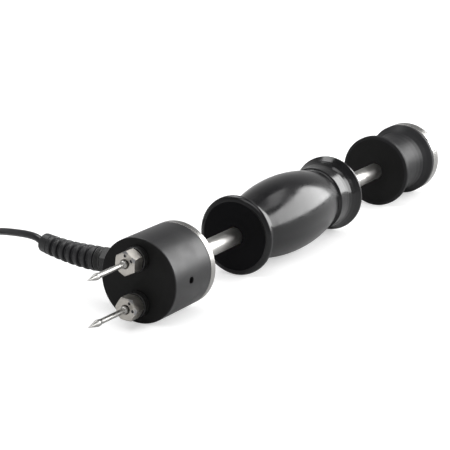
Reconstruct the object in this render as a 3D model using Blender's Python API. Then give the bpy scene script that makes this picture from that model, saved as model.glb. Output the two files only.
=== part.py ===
# Ram-in pin electrode for a resistance moisture meter, with its slide hammer.
# World frame: origin at the centre of the head's front face, +X along the rod
# towards the end stop, +Z up, +Y on the cable side. All sizes below are in mm.
import math

import bmesh
import bpy
from mathutils import Matrix, Vector

MM = 0.001

# ---- driving dimensions -------------------------------------------------
BODY_R = 27.5            # common radius of head, hammer flanges, end stop
FLOOR = -BODY_R          # height of the surface the tool lies on
ROD_R = 6.0
GAP = 0.3                # clearance between pieces that touch
SIDES = 40               # facets of the large turned pieces

HEAD_LENGTH = 41.0
HEAD_WALL = 7.0          # cup wall
FACE_WALL = 9.0          # thickness behind the front face
HUB_R = 8.3              # hub that holds the rod's front end
ROD_SEAT = 15.0          # bottom of the hub's bore
SET_SCREW_X = 17.8       # station of the set screw that holds the rod
PLATE_THICKNESS = 5.2    # steel anvil plate
PLATE_SCREW_OFFSET = 24.0

PIN_OFFSET = 14.5        # each pin's height from the axis
PIN_R = 1.7
PIN_BLADE_R = 2.2        # widest part behind the point
PIN_TIP = -53.7          # station of the needle point
NUT_FLATS = 14.0
NUT_FRONT = -14.5
COLLAR = 4.5             # insulating collar under each nut
THREAD_R = 3.0           # contact studs

GLAND_X = 26.7           # station of the cable gland
GLAND_FLATS = 16.0
GLAND_SEAT = 25.6        # flat milled on the head for the gland
GLAND_HEX_END = 43.0     # where the gland nut's hexagon turns into its round collar
GLAND_END = 48.0
RELIEF_PLUG = 7.0        # length of the relief that sits inside the gland nut
RELIEF_LENGTH = 46.7
RELIEF_BASE_R = 8.4
RELIEF_TIP_R = 6.4
RIB_PITCH = 6.05         # spacing of the grooves between the relief's ribs
RELIEF_BEND = 190.0      # bend radius of the strain relief
RELIEF_TILT = math.radians(30.0)

HAMMER_FRONT = 116.0
HAMMER_REAR = 254.0
HAMMER_MIDDLE = (HAMMER_FRONT + HAMMER_REAR) / 2
BARREL_START = 137.0     # ends of the swelling hand grip
BARREL_END = 225.0
BARREL_R = 27.45         # its radius at the middle
BARREL_BEND = 169.0      # radius of the arc that shapes it lengthwise
WEIGHT_R = 13.9
BUSH_R = 9.0
BUSH_LENGTH = 22.0

STOP_FRONT = 332.2
STOP_REAR = 383.3
END_PLATE = 8.5
NOTCH_ANGLE = math.radians(61.3)   # spanner notches on the end plate's rim
NOTCH_WIDTH = 9.2
NOTCH_DEPTH = 3.0

WIRE_END = GLAND_END - RELIEF_PLUG - 0.2
CABLE_R = 2.5
TURN_PITCH = 5.2         # spacing of the coil's turns
TIE_THICKNESS = 0.8
COIL_CENTRE = (52.0, 228.0)
COIL_INNER_TURN = 22.5   # radius of the innermost turn
COIL_OUTER_TURN = COIL_INNER_TURN + 2 * TURN_PITCH
PLUG_R = 7.2
PLUG_START = 203.0       # Y where the plug's boot begins; it points to -Y

# Route of the cable from the strain relief to where it meets the coil.
CABLE_ROUTE = [
    (34.0, 103.4, 4.4), (36.6, 111.4, 4.3), (39.6, 120.8, 3.3), (43.4, 131.8, 1.6),
    (48.2, 143.8, -0.8), (53.6, 154.6, -4.0), (59.2, 164.6, -8.0), (64.6, 174.2, -12.6),
    (69.6, 183.4, -17.0), (74.0, 192.0, -20.7), (77.5, 199.4, -22.9),
]


# ---- scene and materials --------------------------------------------------
def clear_scene():
    for obj in list(bpy.data.objects):
        bpy.data.objects.remove(obj, do_unlink=True)


def make_material(name, color, roughness, metallic=0.0):
    material = bpy.data.materials.new(name)
    material.use_nodes = True
    shader = material.node_tree.nodes["Principled BSDF"]
    shader.inputs["Base Color"].default_value = (*color, 1.0)
    shader.inputs["Roughness"].default_value = roughness
    shader.inputs["Metallic"].default_value = metallic
    return material


FINISHES = {
    "satin_black": ((0.022, 0.022, 0.024), 0.42, 0.0),
    "gloss_black": ((0.010, 0.010, 0.011), 0.08, 0.0),
    "matt_black": ((0.014, 0.014, 0.014), 0.70, 0.0),
    "black_rubber": ((0.018, 0.018, 0.020), 0.60, 0.0),
    "cable_black": ((0.020, 0.020, 0.022), 0.35, 0.0),
    "ground_steel": ((0.62, 0.61, 0.59), 0.22, 1.0),
    "turned_steel": ((0.66, 0.66, 0.65), 0.30, 1.0),
    "nut_steel": ((0.60, 0.57, 0.53), 0.38, 1.0),
    "needle_steel": ((0.66, 0.65, 0.63), 0.22, 1.0),
    "weight_steel": ((0.30, 0.30, 0.31), 0.45, 1.0),
    "brass": ((0.72, 0.53, 0.22), 0.30, 1.0),
    "screw_steel": ((0.45, 0.45, 0.46), 0.35, 1.0),
    "plug_nickel": ((0.68, 0.67, 0.63), 0.20, 1.0),
    "white_insulator": ((0.75, 0.75, 0.72), 0.45, 0.0),
    "red_lead": ((0.40, 0.03, 0.02), 0.45, 0.0),
    "blue_lead": ((0.03, 0.06, 0.30), 0.45, 0.0),
}


# ---- modelling helpers ------------------------------------------------------
def placed(origin, direction, twist=0.0):
    """Matrix that puts local +X along direction, with local +Z kept upwards."""
    along = Vector(direction).normalized()
    up = Vector((0.0, 0.0, 1.0))
    side = up.cross(along).normalized()
    up = along.cross(side)
    turn = Matrix((along, side, up)).transposed().to_4x4()
    return Matrix.Translation(Vector(origin) * MM) @ turn @ Matrix.Rotation(twist, 4, "X")


def make_object(name, bm, finish, place, smooth=True):
    """Turn a bmesh in mm into an object in metres, set at the given matrix."""
    bmesh.ops.scale(bm, vec=(MM, MM, MM), verts=bm.verts)
    bmesh.ops.remove_doubles(bm, verts=bm.verts, dist=1e-7)
    bmesh.ops.recalc_face_normals(bm, faces=bm.faces)
    mesh = bpy.data.meshes.new(name)
    bm.to_mesh(mesh)
    bm.free()
    if smooth:
        mesh.shade_smooth()
        mesh.set_sharp_from_angle(angle=math.radians(32.0))
    obj = bpy.data.objects.new(name, mesh)
    bpy.context.scene.collection.objects.link(obj)
    obj.matrix_world = place
    mesh.materials.append(make_material(name, *FINISHES[finish]))
    return obj


def turned_bmesh(outline, sides=SIDES):
    """Spin an outline of (station, radius) points about local X."""
    bm = bmesh.new()
    points = [bm.verts.new((x, 0.0, r)) for x, r in outline]
    edges = [bm.edges.new(pair) for pair in zip(points, points[1:])]
    on_axis = outline[0][1] == 0.0 and outline[-1][1] == 0.0
    if not on_axis:
        edges.append(bm.edges.new((points[-1], points[0])))
    bmesh.ops.spin(bm, geom=points + edges, cent=(0, 0, 0), axis=(1, 0, 0),
                   angle=2 * math.pi, steps=sides, use_merge=True)
    bmesh.ops.remove_doubles(bm, verts=bm.verts, dist=1e-4)
    return bm


def turned(name, outline, finish, origin=(0, 0, 0), direction=(1, 0, 0), sides=SIDES):
    return make_object(name, turned_bmesh(outline, sides), finish, placed(origin, direction))


def hex_radius(flats, angle):
    """Distance from the centre to the side of a hexagon at this angle."""
    sector = (angle + math.pi / 6) % (math.pi / 3) - math.pi / 6
    return flats / 2 / math.cos(math.pi / 6 - abs(sector))


def hex_piece(name, flats, start, end, inner, finish, origin=(0, 0, 0),
              direction=(1, 0, 0), twist=0.0, tails=((), ())):
    """Hexagon with chamfered corners around a bore.

    inner is the bore's outline from the end back to the start; tails are round
    stretches in front of the start and behind the end, as (station, radius).
    """
    sides = 12
    land = 0.47 * flats
    rings = []

    def ring(station, radius):
        loop = []
        for i in range(sides):
            angle = 2 * math.pi * i / sides
            x, r = station(angle), radius(angle)
            loop.append((x, r * math.sin(angle), r * math.cos(angle)))
        rings.append(loop)

    def round_ring(x, r):
        ring(lambda a: x, lambda a: r)

    def depth(angle):
        return 0.55 * (hex_radius(flats, angle) - land) + 0.05

    for x, r in tails[0]:
        round_ring(x, r)
    round_ring(start, land)
    ring(lambda a: start + depth(a), lambda a: hex_radius(flats, a))
    ring(lambda a: end - depth(a), lambda a: hex_radius(flats, a))
    round_ring(end, land)
    for x, r in tails[1]:
        round_ring(x, r)
    for x, r in inner:
        round_ring(x, r)
    bm = bmesh.new()
    loops = [[bm.verts.new(p) for p in loop] for loop in rings]
    for a, b in zip(loops, loops[1:] + loops[:1]):
        for i in range(sides):
            j = (i + 1) % sides
            bm.faces.new((a[i], a[j], b[j], b[i]))
    return make_object(name, bm, finish, placed(origin, direction, twist))


def cut(target, name, tools, operation="DIFFERENCE"):
    """Apply one Boolean to target with all the tools, a list of (bmesh, matrix)."""
    mesh = bpy.data.meshes.new(name)
    joined = bmesh.new()
    for bm, place in tools:
        bmesh.ops.scale(bm, vec=(MM, MM, MM), verts=bm.verts)
        bmesh.ops.transform(bm, matrix=place, verts=bm.verts)
        bmesh.ops.recalc_face_normals(bm, faces=bm.faces)
        bm.to_mesh(mesh)
        bm.free()
        joined.from_mesh(mesh)
    joined.to_mesh(mesh)
    joined.free()
    obj = bpy.data.objects.new(name, mesh)
    bpy.context.scene.collection.objects.link(obj)
    obj.hide_render = True
    obj.display_type = "WIRE"
    modifier = target.modifiers.new(name, "BOOLEAN")
    modifier.operation = operation
    modifier.object = obj


def drill(radius, start, end, origin, direction, sides=16):
    """Tool for a round hole along a direction, from start to end past the origin.

    The small twist keeps the hole's facets off the edges of what it cuts.
    """
    return turned_tool([(start, 0), (start, radius), (end, radius), (end, 0)],
                       origin, direction, sides)


def turned_tool(outline, origin, direction, sides=16):
    return turned_bmesh(outline, sides), placed(origin, direction, 0.06)


def box_bmesh(low, high):
    bm = bmesh.new()
    bmesh.ops.create_cube(bm, size=1.0)
    size = [b - a for a, b in zip(low, high)]
    middle = [(a + b) / 2 for a, b in zip(low, high)]
    bmesh.ops.scale(bm, vec=size, verts=bm.verts)
    bmesh.ops.translate(bm, vec=middle, verts=bm.verts)
    return bm


def smooth_route(points, spacing):
    """Evenly spaced points of a Catmull-Rom curve through the given ones (mm)."""
    pts = [Vector(p) for p in points]
    pts = [2 * pts[0] - pts[1]] + pts + [2 * pts[-1] - pts[-2]]
    fine = []
    for a, b, c, d in zip(pts, pts[1:], pts[2:], pts[3:]):
        for i in range(24):
            t = i / 24
            fine.append(0.5 * (2 * b + (c - a) * t + (2 * a - 5 * b + 4 * c - d) * t ** 2
                               + (3 * b - a - 3 * c + d) * t ** 3))
    fine.append(pts[-2])
    length = sum((b - a).length for a, b in zip(fine, fine[1:]))
    count = max(2, round(length / spacing))
    result, travelled, index = [fine[0]], 0.0, 0
    for k in range(1, count):
        target = length * k / count
        while travelled + (fine[index + 1] - fine[index]).length < target:
            travelled += (fine[index + 1] - fine[index]).length
            index += 1
        step = fine[index + 1] - fine[index]
        result.append(fine[index] + step * ((target - travelled) / step.length))
    return result + [fine[-1]]


def tube(name, points, radius, finish, resolution=2):
    """Plain round cord along the points, with flat ends."""
    curve = bpy.data.curves.new(name, "CURVE")
    curve.dimensions = "3D"
    curve.bevel_depth = radius * MM
    curve.bevel_resolution = resolution
    curve.use_fill_caps = True
    spline = curve.splines.new("POLY")
    spline.points.add(len(points) - 1)
    for point, position in zip(spline.points, points):
        point.co = (*(Vector(position) * MM), 1.0)
    obj = bpy.data.objects.new(name, curve)
    bpy.context.scene.collection.objects.link(obj)
    curve.materials.append(make_material(name, *FINISHES[finish]))
    return obj


# ---- head ---------------------------------------------------------------
def build_head():
    inner = BODY_R - HEAD_WALL
    outline = [
        (0, 0), (0, BODY_R - 0.5), (0.5, BODY_R), (HEAD_LENGTH - 0.4, BODY_R),
        (HEAD_LENGTH, BODY_R - 0.4), (HEAD_LENGTH, inner), (FACE_WALL, inner),
        (FACE_WALL, HUB_R), (HEAD_LENGTH - GAP, HUB_R), (HEAD_LENGTH - GAP, ROD_R + GAP),
        (ROD_SEAT, ROD_R + GAP), (ROD_SEAT, 0),
    ]
    head = turned("head_body", outline, "satin_black")
    gland = [(14, 0), (14, 6.5), (GLAND_SEAT, 6.5), (GLAND_SEAT, 10.6), (32, 10.6), (32, 0)]
    holes = [
        drill(4.0 + GAP, -2, FACE_WALL + 2, (0, 0, PIN_OFFSET), (1, 0, 0)),
        drill(4.0 + GAP, -2, FACE_WALL + 2, (0, 0, -PIN_OFFSET), (1, 0, 0)),
        turned_tool(gland, (GLAND_X, 0, 0), (0, 1, 0), 24),
        drill(2.25, 5.4, 32, (SET_SCREW_X, 0, 0), (0, -1, 0), 20),
    ]
    spots = []
    for number in range(3):
        angle = math.radians(90 + 120 * number)
        spots.append((0, PLATE_SCREW_OFFSET * math.cos(angle), PLATE_SCREW_OFFSET * math.sin(angle)))
    holes += [drill(1.8, 30, 45, spot, (1, 0, 0), 16) for spot in spots]
    cut(head, "head_holes", holes)

    front = HEAD_LENGTH + GAP
    rear = front + PLATE_THICKNESS
    plate = turned("anvil_plate", [
        (front, ROD_R + GAP), (front, BODY_R - 0.3), (front + 0.3, BODY_R),
        (rear - 0.5, BODY_R), (rear, BODY_R - 0.5), (rear, ROD_R + GAP),
    ], "turned_steel")
    sink = [(36, 0), (36, 1.8), (rear - 1.5, 1.8), (rear, 3.1), (rear + 2, 3.1), (rear + 2, 0)]
    cut(plate, "plate_holes", [turned_tool(sink, spot, (1, 0, 0), 16) for spot in spots])
    for number, spot in enumerate(spots, 1):
        screw = turned(f"anvil_screw_{number}", [
            (31, 0), (31, 1.2), (31.3, 1.5), (rear - 1.7, 1.5), (rear - 0.2, 2.8),
            (rear - 0.2, 0),
        ], "screw_steel", spot, sides=16)
        socket = drill(1.1, rear - 1.5, rear + 1, spot, (1, 0, 0), 6)
        cut(screw, f"anvil_screw_socket_{number}", [socket])

    seat = (SET_SCREW_X, 0, 0)
    screw = turned("set_screw", [(ROD_R + 0.4, 0), (ROD_R + 0.4, 1.4), (7.0, 1.95), (13.5, 1.95),
                                 (14.0, 1.5), (14.0, 0)], "screw_steel", seat, (0, -1, 0), 16)
    cut(screw, "set_screw_socket", [drill(1.0, 11.5, 16, seat, (0, -1, 0), 6)])


# ---- rod, end stop and end plate -----------------------------------------
def build_rod_and_stop():
    shoulder = STOP_FRONT + 8.0
    rod = turned("rod", [
        (ROD_SEAT + GAP, 0), (ROD_SEAT + GAP, ROD_R - 0.8), (ROD_SEAT + GAP + 0.8, ROD_R),
        (shoulder, ROD_R), (shoulder, 5.0), (STOP_REAR - 0.8, 5.0), (STOP_REAR - 0.3, 4.5),
        (STOP_REAR - 0.3, 0),
    ], "ground_steel")
    cut(rod, "rod_thread", [drill(3.3, STOP_REAR - 22, STOP_REAR + 2, (0, 0, 0), (1, 0, 0))])

    turned("end_stop", [
        (STOP_FRONT, ROD_R + GAP), (STOP_FRONT, BODY_R - 2.4), (STOP_FRONT + 0.5, BODY_R - 0.8),
        (STOP_FRONT + 1.5, BODY_R), (336.2, BODY_R), (336.9, 26.6), (338.0, 24.4), (340.0, 22.8),
        (343.5, 22.1), (350.0, 21.9), (362.0, 21.9), (368.0, 22.2), (372.5, 23.0),
        (376.0, 24.9), (379.4, 27.1), (380.2, BODY_R), (STOP_REAR - 0.4, BODY_R),
        (STOP_REAR, BODY_R - 0.4),
        (STOP_REAR, 5.0 + GAP), (shoulder + GAP, 5.0 + GAP), (shoulder + GAP, ROD_R + GAP),
    ], "satin_black")

    front = STOP_REAR + GAP
    rear = front + END_PLATE
    plate = turned("end_plate", [
        (front, 3.3), (front, BODY_R - 0.4), (front + 0.4, BODY_R), (rear - 0.6, BODY_R),
        (rear, BODY_R - 0.6), (rear, 5.8), (rear - 6.3, 5.8), (rear - 6.3, 3.3),
    ], "turned_steel")
    notches = []
    for angle in (NOTCH_ANGLE, NOTCH_ANGLE + math.pi):
        notch = box_bmesh((front - 2, -NOTCH_WIDTH / 2, BODY_R - NOTCH_DEPTH),
                          (rear + 2, NOTCH_WIDTH / 2, BODY_R + 4.0))
        notches.append((notch, Matrix.Rotation(angle, 4, "X")))
    cut(plate, "end_plate_notches", notches)
    screw = turned("end_screw", [
        (front - 16, 0), (front - 16, 2.5), (front - 15.5, 3.0), (rear - 6.0, 3.0),
        (rear - 6.0, 5.0), (rear - 0.7, 5.0), (rear - 0.3, 4.6), (rear - 0.3, 0),
    ], "screw_steel", sides=24)
    cut(screw, "end_screw_socket", [drill(2.8, rear - 3.8, rear + 1, (0, 0, 0), (1, 0, 0), 6)])


# ---- slide hammer ---------------------------------------------------------
def barrel_radius(x):
    """Hand grip of the hammer: a flat arc, thickest in the middle."""
    return BARREL_R - (x - HAMMER_MIDDLE) ** 2 / (2 * BARREL_BEND)


def front_flange():
    """Rounded outer face, rim and the cove that runs into the grip."""
    return [(HAMMER_FRONT + x, r) for x, r in (
        (0, 23.0), (0.4, 25.3), (1.5, 26.9), (3.0, BODY_R), (4.3, BODY_R), (5.0, 26.9),
        (7.0, 24.8), (9.0, 22.6), (12.0, 20.7), (15.0, 19.8), (18.0, 19.9))]


def rear_flange():
    """Groove and bead behind the grip, thick neck, flange and flat outer face."""
    return [(HAMMER_REAR - x, r) for x, r in (
        (28.0, 21.6), (25.2, 21.6), (24.4, 22.4), (23.8, 23.5), (22.6, 23.5), (22.0, 22.9),
        (15.0, 22.9), (12.0, 23.1), (9.0, 23.8), (6.0, 25.1), (3.6, 26.4), (1.7, BODY_R),
        (0.4, BODY_R), (0, 27.1))]


def build_hammer():
    front, rear = HAMMER_FRONT, HAMMER_REAR
    outline = [(front, ROD_R + 0.5)] + front_flange()
    steps = 12
    for i in range(steps + 1):
        x = BARREL_START + (BARREL_END - BARREL_START) * i / steps
        outline.append((x, barrel_radius(x)))
    outline += rear_flange()
    outline += [(rear, WEIGHT_R + GAP), (front + 6.0, WEIGHT_R + GAP), (front + 6.0, ROD_R + 0.5)]
    hammer = turned("hammer_grip", outline, "gloss_black", (HAMMER_MIDDLE, 0, 0))
    hammer.data.transform(Matrix.Translation((-HAMMER_MIDDLE * MM, 0, 0)))

    def inner_piece(name, outline, finish, sides=28):
        turned(name, [(x - HAMMER_MIDDLE, r) for x, r in outline], finish,
               (HAMMER_MIDDLE, 0, 0), sides=sides)

    start, end = front + 6.0 + GAP, rear - 6.0
    inner_piece("hammer_weight", [
        (start, BUSH_R + GAP), (start, WEIGHT_R - 0.4), (start + 0.4, WEIGHT_R),
        (end - 0.4, WEIGHT_R), (end, WEIGHT_R - 0.4), (end, BUSH_R + GAP),
    ], "weight_steel")
    inner_piece("hammer_cap", [
        (end + GAP, ROD_R + 0.5), (end + GAP, WEIGHT_R), (rear - 0.4, WEIGHT_R),
        (rear, WEIGHT_R - 0.4), (rear, ROD_R + 0.5),
    ], "gloss_black")
    for name, x in (("hammer_bush_front", start), ("hammer_bush_rear", end - BUSH_LENGTH)):
        inner_piece(name, [
            (x, ROD_R + 0.1), (x, BUSH_R - 0.4), (x + 0.4, BUSH_R),
            (x + BUSH_LENGTH - 0.4, BUSH_R), (x + BUSH_LENGTH, BUSH_R - 0.4),
            (x + BUSH_LENGTH, ROD_R + 0.1),
        ], "brass", SIDES)


# ---- needle electrodes ------------------------------------------------------
def build_electrode(side, height, twist, lead):
    at = (0, 0, height)
    hole = THREAD_R + GAP
    collar_front = -COLLAR - GAP
    turned(f"{side}_bush", [
        (collar_front, hole), (collar_front, 7.5), (collar_front + 0.5, 8.0), (-GAP - 0.2, 8.0),
        (-GAP, 7.8), (-GAP, 4.0), (FACE_WALL - 0.4, 4.0), (FACE_WALL - 0.4, hole),
    ], "matt_black", at, sides=24)
    turned(f"{side}_stud", [
        (-9.3, 0), (-9.3, THREAD_R - 0.4), (-8.9, THREAD_R), (15.6, THREAD_R),
        (16.0, THREAD_R - 0.4), (16.0, 0),
    ], "brass", at, sides=16)
    nut_rear = collar_front - GAP
    hex_piece(f"{side}_pin_nut", NUT_FLATS, NUT_FRONT, nut_rear,
              [(nut_rear, hole), (NUT_FRONT + 3.0, hole), (NUT_FRONT + 3.0, PIN_R + 0.5),
               (NUT_FRONT + 1.4, PIN_R + 0.5), (NUT_FRONT, 2.8)],
              "nut_steel", at, twist=twist)
    turned(f"{side}_pin", [
        (PIN_TIP, 0), (PIN_TIP + 0.3, 0.12), (PIN_TIP + 9.2, PIN_BLADE_R),
        (PIN_TIP + 10.4, PIN_BLADE_R), (PIN_TIP + 13.0, PIN_R), (NUT_FRONT - 2.8, PIN_R),
        (NUT_FRONT - 2.2, 2.5), (NUT_FRONT - 0.4, 2.5), (NUT_FRONT - 0.2, PIN_R),
        (NUT_FRONT + 3.3, PIN_R), (NUT_FRONT + 3.3, 2.9), (-9.6, 2.9), (-9.6, 0),
    ], "needle_steel", at, sides=16)

    lug = turned(f"{side}_lug", [(FACE_WALL + GAP, hole), (FACE_WALL + GAP, 4.8),
                                 (FACE_WALL + GAP + 0.8, 4.8), (FACE_WALL + GAP + 0.8, hole)],
                 "brass", at, sides=16)
    tab = box_bmesh((FACE_WALL + GAP, 4.2, -1.5), (FACE_WALL + GAP + 0.8, 9.6, 1.5))
    cut(lug, f"{side}_lug_tab", [(tab, Matrix.Translation(Vector(at) * MM))], "UNION")
    nut_start = FACE_WALL + 2 * GAP + 0.8
    hex_piece(f"{side}_lock_nut", 9.0, nut_start, nut_start + 4.0,
              [(nut_start + 4.0, hole), (nut_start, hole)], "brass", at)
    sign = 1 if height > 0 else -1
    lead_points = [
        (11.4, 8.4, sign * 14.3), (14.0, 11.2, sign * 13.0), (18.0, 12.6, sign * 9.6),
        (22.4, 12.8, sign * 5.4), (25.6, 13.4, sign * 2.4), (26.6, 16.0, sign * 1.35),
        (GLAND_X, 22.0, sign * 1.3), (GLAND_X, 32.0, sign * 1.3), (GLAND_X, WIRE_END, sign * 1.3),
    ]
    tube(f"{side}_wire", smooth_route(lead_points, 2.2), 0.75, lead)


# ---- cable gland and strain relief ------------------------------------------
def relief_point(distance, lateral=0.0, rise=0.0):
    """Point of the strain relief's bent centre line, plus an offset across it."""
    angle = distance / RELIEF_BEND
    reach = RELIEF_BEND * math.sin(angle)
    swing = RELIEF_BEND * (1 - math.cos(angle))
    swing_dir = Vector((math.cos(RELIEF_TILT), 0, math.sin(RELIEF_TILT)))
    across = swing_dir * math.cos(angle) - Vector((0, 1, 0)) * math.sin(angle)
    binormal = Vector((0, 1, 0)).cross(swing_dir)
    base = Vector((GLAND_X, GLAND_END + GAP, 0))
    return base + Vector((0, reach, 0)) + swing_dir * swing + across * lateral + binormal * rise


def build_gland():
    at, out = (GLAND_X, 0, 0), (0, 1, 0)
    twist = math.radians(-7.0)
    washer = GLAND_SEAT + GAP
    turned("gland_washer", [(washer, 6.5), (washer, 8.2), (washer + 0.8, 8.2),
                            (washer + 0.8, 6.5)], "black_rubber", at, out, 24)
    body = washer + 0.8 + GAP
    tail_end = GLAND_END - RELIEF_PLUG
    hex_piece("gland_body", GLAND_FLATS, body, body + 6.0,
              [(tail_end, 3.3), (15.0, 3.3)], "matt_black", at, out, twist,
              (((15.0, 6.2), (body, 6.2)), ((body + 6.0, 6.2), (tail_end, 6.2))))
    hex_piece("gland_lock_nut", 14.0, 15.4, 18.0, [(18.0, 6.5), (15.4, 6.5)],
              "brass", at, out)
    collar = GLAND_END - 4.4
    hex_piece("gland_nut", GLAND_FLATS, body + 6.0 + GAP, GLAND_HEX_END,
              [(GLAND_END, 5.3), (collar, 5.3), (collar, 6.5), (body + 6.0 + GAP, 6.5)],
              "matt_black", at, out, twist,
              ((), ((GLAND_HEX_END, 8.0), (GLAND_END - 0.4, 8.0), (GLAND_END, 7.6))))

    outline = [(-RELIEF_PLUG, 0), (-RELIEF_PLUG, 6.1), (-5.0, 6.1), (-5.0, 5.0), (0, 5.0),
               (0, RELIEF_BASE_R - 0.2)]

    def taper(a):
        return RELIEF_BASE_R + (RELIEF_TIP_R - RELIEF_BASE_R) * a / RELIEF_LENGTH

    for groove in range(6):
        middle = 4.5 + RIB_PITCH * groove
        outline += [(middle - 1.5, taper(middle)), (middle - 1.0, taper(middle) - 1.7),
                    (middle + 1.0, taper(middle) - 1.7), (middle + 1.5, taper(middle))]
    tip = RELIEF_LENGTH
    outline += [(tip - 1.0, RELIEF_TIP_R), (tip - 0.3, 6.0), (tip, 5.3), (tip, 0)]
    bm = turned_bmesh(outline, 16)
    for vert in bm.verts:
        x, y, z = vert.co
        if x > 0:
            vert.co = relief_point(x, y, z)
        else:
            base = relief_point(0, y, z)
            vert.co = base + Vector((0, x, 0))
    make_object("strain_relief", bm, "black_rubber", Matrix.Identity(4))


# ---- cable, coil and plug -----------------------------------------------------
def build_cable():
    start = relief_point(RELIEF_LENGTH + GAP)
    straight = relief_point(RELIEF_LENGTH + 4.0)
    tube("cable", smooth_route([start, straight] + CABLE_ROUTE, 2.2 * 2 * CABLE_R), CABLE_R,
         "cable_black")

    low = FLOOR + TIE_THICKNESS
    high = low + 2 * CABLE_R + TURN_PITCH
    inner = COIL_INNER_TURN - CABLE_R
    outer = COIL_OUTER_TURN + CABLE_R
    centre = (*COIL_CENTRE, 0)
    bm = turned_bmesh([
        (low, inner + 1.2), (low, outer - 1.2), (low + 1.2, outer), (high - 1.2, outer),
        (high, outer - 1.2), (high, inner + 1.2), (high - 1.2, inner), (low + 1.2, inner),
    ], 32)
    upright = Matrix.Translation(Vector(centre) * MM) @ Matrix.Rotation(-math.pi / 2, 4, "Y")
    make_object("cable_coil", bm, "cable_black", upright)

    tie = box_bmesh((inner - 1.1, -3.5, FLOOR), (outer + 1.1, 3.5, high + 1.1))
    place = Matrix.Translation(Vector(centre) * MM) @ Matrix.Rotation(math.radians(80), 4, "Z")
    tie = make_object("coil_tie", tie, "matt_black", place, smooth=False)
    slot = box_bmesh((inner - 0.4, -5, low - 0.4), (outer + 0.4, 5, high + 0.4))
    cut(tie, "coil_tie_slot", [(slot, place)])

    level = FLOOR + PLUG_R + 0.1
    tail_x = COIL_CENTRE[0] - COIL_OUTER_TURN
    tail = [(tail_x, PLUG_START + 5.4, level), (tail_x, PLUG_START + GAP, level)]
    tube("cable_tail", smooth_route(tail, 2.2), CABLE_R, "cable_black")
    build_plug((tail_x, PLUG_START, level))


def build_plug(at):
    out = (0, -1, 0)
    turned("plug_boot", [(0, 0), (0, 3.4), (1.0, 3.9), (12.0, 4.9), (13.0, 5.1), (13.0, 0)],
           "black_rubber", at, out, 16)
    turned("plug_body", [(13.3, 0), (13.3, 5.4), (13.9, 6.0), (20.0, 6.0), (20.6, 5.4),
                         (20.6, 4.9), (36.0, 4.9), (36.0, 4.4), (27.0, 4.4), (27.0, 0)],
           "plug_nickel", at, out, 24)
    turned("plug_ring", [(20.9, 5.2), (20.9, 6.7), (21.6, PLUG_R), (35.4, PLUG_R), (36.0, 6.7),
                         (36.0, 5.2)], "plug_nickel", at, out, 24)
    turned("plug_insulator", [(27.3, 0.9), (27.3, 2.9), (30.0, 2.9), (30.0, 0.9)],
           "white_insulator", at, out, 16)
    turned("plug_contact", [(27.3, 0), (27.3, 0.6), (30.8, 0.6), (31.2, 0.3), (31.2, 0)],
           "brass", at, out, 12)


def build():
    clear_scene()
    build_head()
    build_rod_and_stop()
    build_hammer()
    build_electrode("upper", PIN_OFFSET, math.radians(4.0), "red_lead")
    build_electrode("lower", -PIN_OFFSET, math.radians(34.0), "blue_lead")
    build_gland()
    build_cable()


build()
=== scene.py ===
import math

import bmesh
import bpy
from mathutils import Matrix, Vector


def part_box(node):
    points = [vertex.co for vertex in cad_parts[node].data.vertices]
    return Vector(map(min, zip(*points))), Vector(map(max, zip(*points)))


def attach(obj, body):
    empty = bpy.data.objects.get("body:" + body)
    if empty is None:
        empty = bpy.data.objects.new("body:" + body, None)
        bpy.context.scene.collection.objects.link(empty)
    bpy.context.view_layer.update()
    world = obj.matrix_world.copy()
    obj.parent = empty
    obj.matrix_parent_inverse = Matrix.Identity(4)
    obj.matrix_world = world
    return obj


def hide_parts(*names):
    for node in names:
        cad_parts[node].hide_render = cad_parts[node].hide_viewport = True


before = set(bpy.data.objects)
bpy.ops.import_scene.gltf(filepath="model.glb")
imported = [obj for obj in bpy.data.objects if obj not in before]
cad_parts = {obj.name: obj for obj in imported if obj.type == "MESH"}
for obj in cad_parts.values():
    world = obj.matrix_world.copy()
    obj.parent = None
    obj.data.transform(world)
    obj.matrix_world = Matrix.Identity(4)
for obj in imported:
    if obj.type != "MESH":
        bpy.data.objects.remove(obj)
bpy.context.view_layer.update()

mm = 0.001
scene = bpy.context.scene


def span(node):  # lowest and highest corner of a CAD node, in mm
    low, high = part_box(node)
    return low / mm, high / mm


headLow, headHigh = span("head_body")
bodyRadius = headHigh.z
rodRadius = span("rod")[1].z
floorHeight = headLow.z


# camera, floor and light

camera = {
    "place": (-802.5, -539.5, 303.3),      # mm from the middle of the head's front face
    "forward": (0.8280, 0.4928, -0.2672),
    "lens": 132.0, "sensor": 36.0,
    "clip": (0.01, 30.0),                  # metres
}

studio = {
    "floorHalf": 6000.0, "floorDrop": 0.05,  # mm; the floor lies a hair below the tool
    "floorTone": 0.66, "floorGlow": 0.50, "floorRough": 0.9, "floorShine": 0.1,
    "skyLow": 0.62, "skyHigh": 0.16,       # brightness at the horizon and overhead
    "skyFade": (0.05, 0.75),               # heights between which it changes
    # name: (centre, aims at, width, height, watts), lengths in mm
    "boxes": {
        "sideBox": ((2370, -1735, 1030), (150, 0, 0), 2900, 1800, 122.0),
        "rearBox": ((330, 690, 1250), (60, 40, 0), 900, 600, 9.0),
        "upperBox": ((1000, -320, 1150), (150, 0, 0), 800, 300, 1.6),
        "washBox": ((-900, -300, 2200), (100, 0, 0), 2400, 1600, 26.0),
    },
}


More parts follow.
